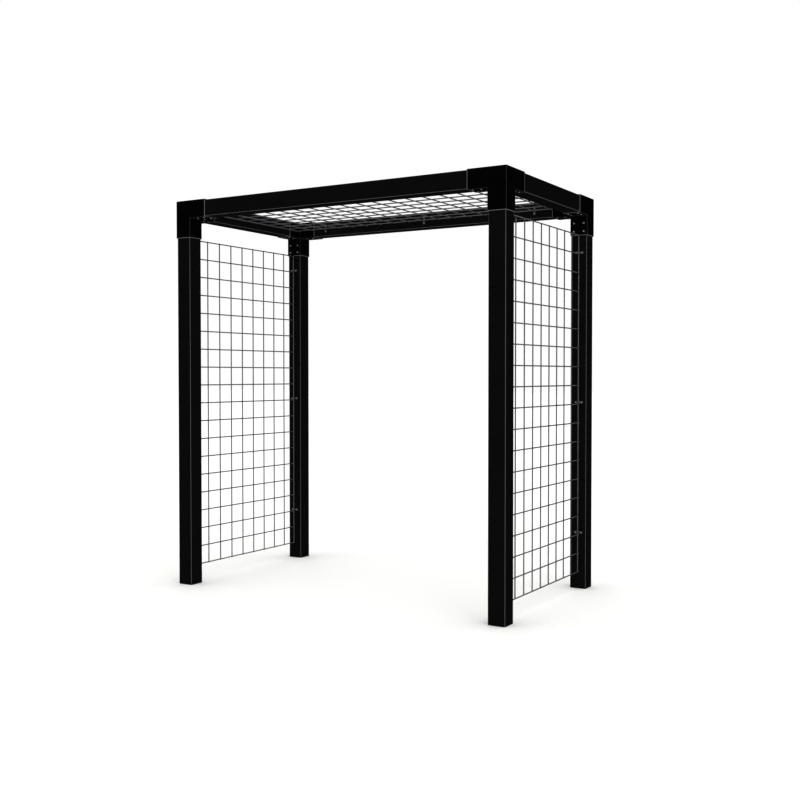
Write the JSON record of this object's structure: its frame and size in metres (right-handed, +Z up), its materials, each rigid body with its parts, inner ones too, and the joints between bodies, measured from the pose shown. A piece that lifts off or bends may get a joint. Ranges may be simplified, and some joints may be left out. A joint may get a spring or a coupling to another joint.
{
  "type": "metal trellis arch",
  "caption": "Walk-through garden arch of square black steel tube, with welded wire mesh in both sides and the roof and three-way brackets at the top corners.",
  "frame": {"origin": "on the ground, at the middle of the arch's footprint", "axes": "+Z up, +X along the long beams, across the walkway, +Y through the walkway from front to back"},
  "size_m": [2.0144, 1.1188, 2.1286],
  "materials": {
    "powder_coat": "satin black powder coat on steel tube",
    "bracket_coat": "fine matt black powder coat on folded steel plate",
    "mesh_coat": "black coating on welded steel wire",
    "black_screw": "black zinc plated steel",
    "plug_plastic": "moulded black plastic"
  },
  "bodies": {
    "root": {"beam_back": "powder_coat", "beam_front": "powder_coat", "beam_left": "powder_coat", "beam_right": "powder_coat", "bracket_screw_back_left_lower_left": "black_screw", "bracket_screw_back_left_lower_right": "black_screw", "bracket_screw_back_left_upper_left": "black_screw", "bracket_screw_back_left_upper_right": "black_screw", "bracket_screw_back_right_lower_left": "black_screw", "bracket_screw_back_right_lower_right": "black_screw", "bracket_screw_back_right_upper_left": "black_screw", "bracket_screw_back_right_upper_right": "black_screw", "bracket_screw_front_left_lower_left": "black_screw", "bracket_screw_front_left_lower_right": "black_screw", "bracket_screw_front_left_upper_left": "black_screw", "bracket_screw_front_left_upper_right": "black_screw", "bracket_screw_front_right_lower_left": "black_screw", "bracket_screw_front_right_lower_right": "black_screw", "bracket_screw_front_right_upper_left": "black_screw", "bracket_screw_front_right_upper_right": "black_screw", "corner_bracket_back_left": "bracket_coat", "corner_bracket_back_right": "bracket_coat", "corner_bracket_front_left": "bracket_coat", "corner_bracket_front_right": "bracket_coat", "foot_plug_back_left": "plug_plastic", "foot_plug_back_right": "plug_plastic", "foot_plug_front_left": "plug_plastic", "foot_plug_front_right": "plug_plastic", "mesh_clip_back_left_lower": "powder_coat", "mesh_clip_back_left_middle": "powder_coat", "mesh_clip_back_left_upper": "powder_coat", "mesh_clip_back_right_lower": "powder_coat", "mesh_clip_back_right_middle": "powder_coat", "mesh_clip_back_right_upper": "powder_coat", "mesh_clip_front_left_lower": "powder_coat", "mesh_clip_front_left_middle": "powder_coat", "mesh_clip_front_left_upper": "powder_coat", "mesh_clip_front_right_lower": "powder_coat", "mesh_clip_front_right_middle": "powder_coat", "mesh_clip_front_right_upper": "powder_coat", "mesh_roof": "mesh_coat", "mesh_side_left": "mesh_coat", "mesh_side_right": "mesh_coat", "post_back_left": "powder_coat", "post_back_right": "powder_coat", "post_front_left": "powder_coat", "post_front_right": "powder_coat", "roof_clip_back_centre": "powder_coat", "roof_clip_back_left": "powder_coat", "roof_clip_back_right": "powder_coat", "roof_clip_front_centre": "powder_coat", "roof_clip_front_left": "powder_coat", "roof_clip_front_right": "powder_coat"}
  },
  "joints": []
}
